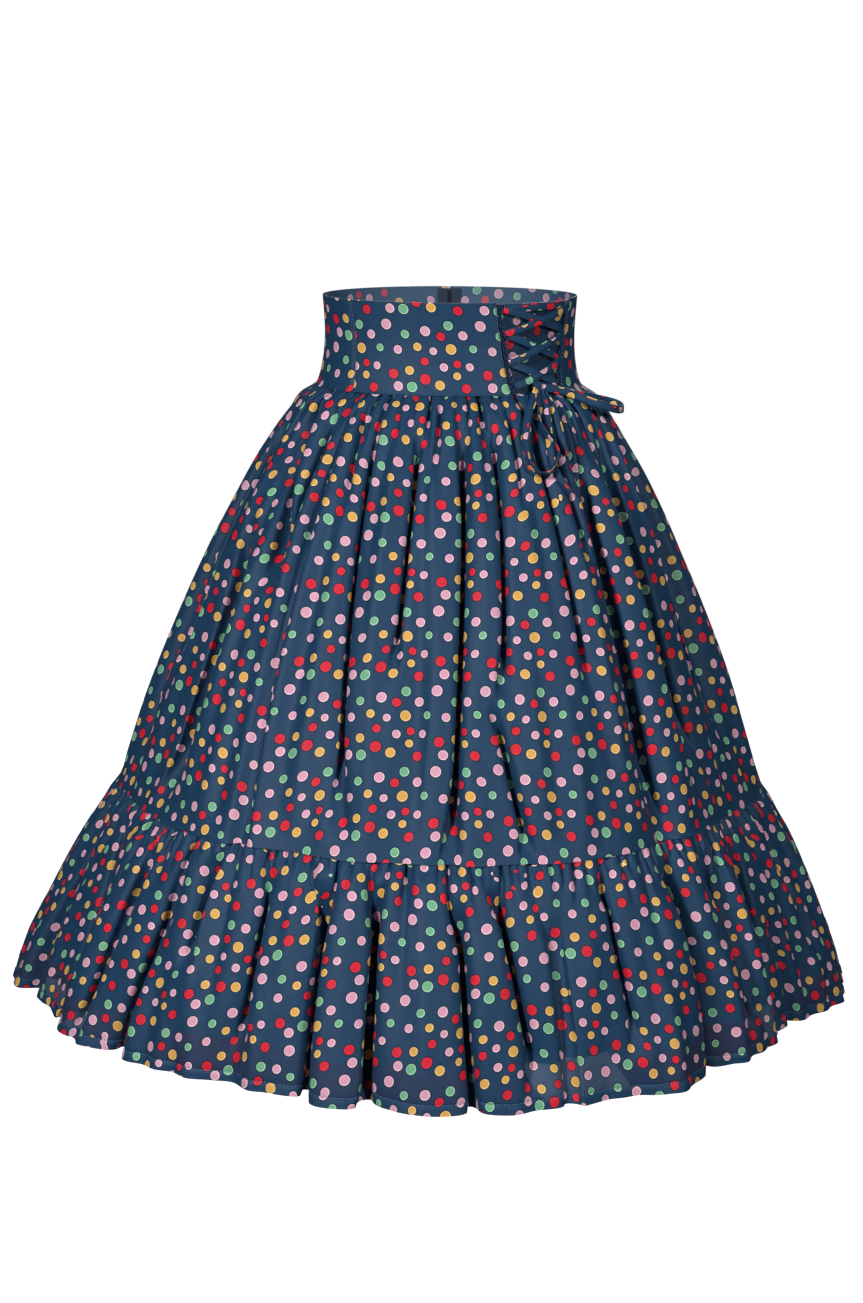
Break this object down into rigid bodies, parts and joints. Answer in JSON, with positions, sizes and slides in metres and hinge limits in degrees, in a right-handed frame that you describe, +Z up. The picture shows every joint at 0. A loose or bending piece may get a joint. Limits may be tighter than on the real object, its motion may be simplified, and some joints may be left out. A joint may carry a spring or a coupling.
{
  "type": "full skirt",
  "caption": "Full gathered skirt with a high fitted waistband laced at the front, a gathered flounce, a bow and a zip at centre back.",
  "frame": {"origin": "middle of the waistband's narrowest ring, where the wearer's waist holds the skirt", "axes": "+Z up, -Y the front, +X the right of someone who faces the front"},
  "size_m": [0.8333, 0.7068, 0.6903],
  "materials": {
    "printed_cotton": "smooth crisp plain weave with a print of round dots, slight sheen",
    "lace_cotton": "the same printed cotton, folded to a flat strap",
    "loop_thread": "matt looped thread tape",
    "zip_tape_weave": "matt woven tape",
    "zip_metal": "satin enamel"
  },
  "bodies": {
    "skirt": {"flounce_front": "printed_cotton", "flounce_left": "printed_cotton", "flounce_right": "printed_cotton", "lace_bar": "lace_cotton", "lace_knot": "lace_cotton", "lace_loop_left": "lace_cotton", "lace_loop_right": "lace_cotton", "lace_over_1": "lace_cotton", "lace_over_2": "lace_cotton", "lace_over_3": "lace_cotton", "lace_tail_a": "lace_cotton", "lace_tail_b": "lace_cotton", "lace_under_1": "lace_cotton", "lace_under_2": "lace_cotton", "lace_under_3": "lace_cotton", "loop_tape_left": "loop_thread", "loop_tape_right": "loop_thread", "skirt_back_left": "printed_cotton", "skirt_back_right": "printed_cotton", "skirt_front": "printed_cotton", "skirt_left": "printed_cotton", "skirt_right": "printed_cotton", "waist_front": "printed_cotton", "waist_left": "printed_cotton", "waist_modesty": "printed_cotton", "waist_right": "printed_cotton", "zip_slider": "zip_metal", "zip_tape": "zip_tape_weave"},
    "zip_pull": {"zip_pull": "zip_metal"}
  },
  "joints": [
    {"name": "zip_pull_hinge", "type": "hinge", "parent": "skirt", "child": "zip_pull", "pos_m": [0, 0.09705, 0.0265], "axis": [1, 0, 0], "range_deg": [-4, 170]}
  ]
}
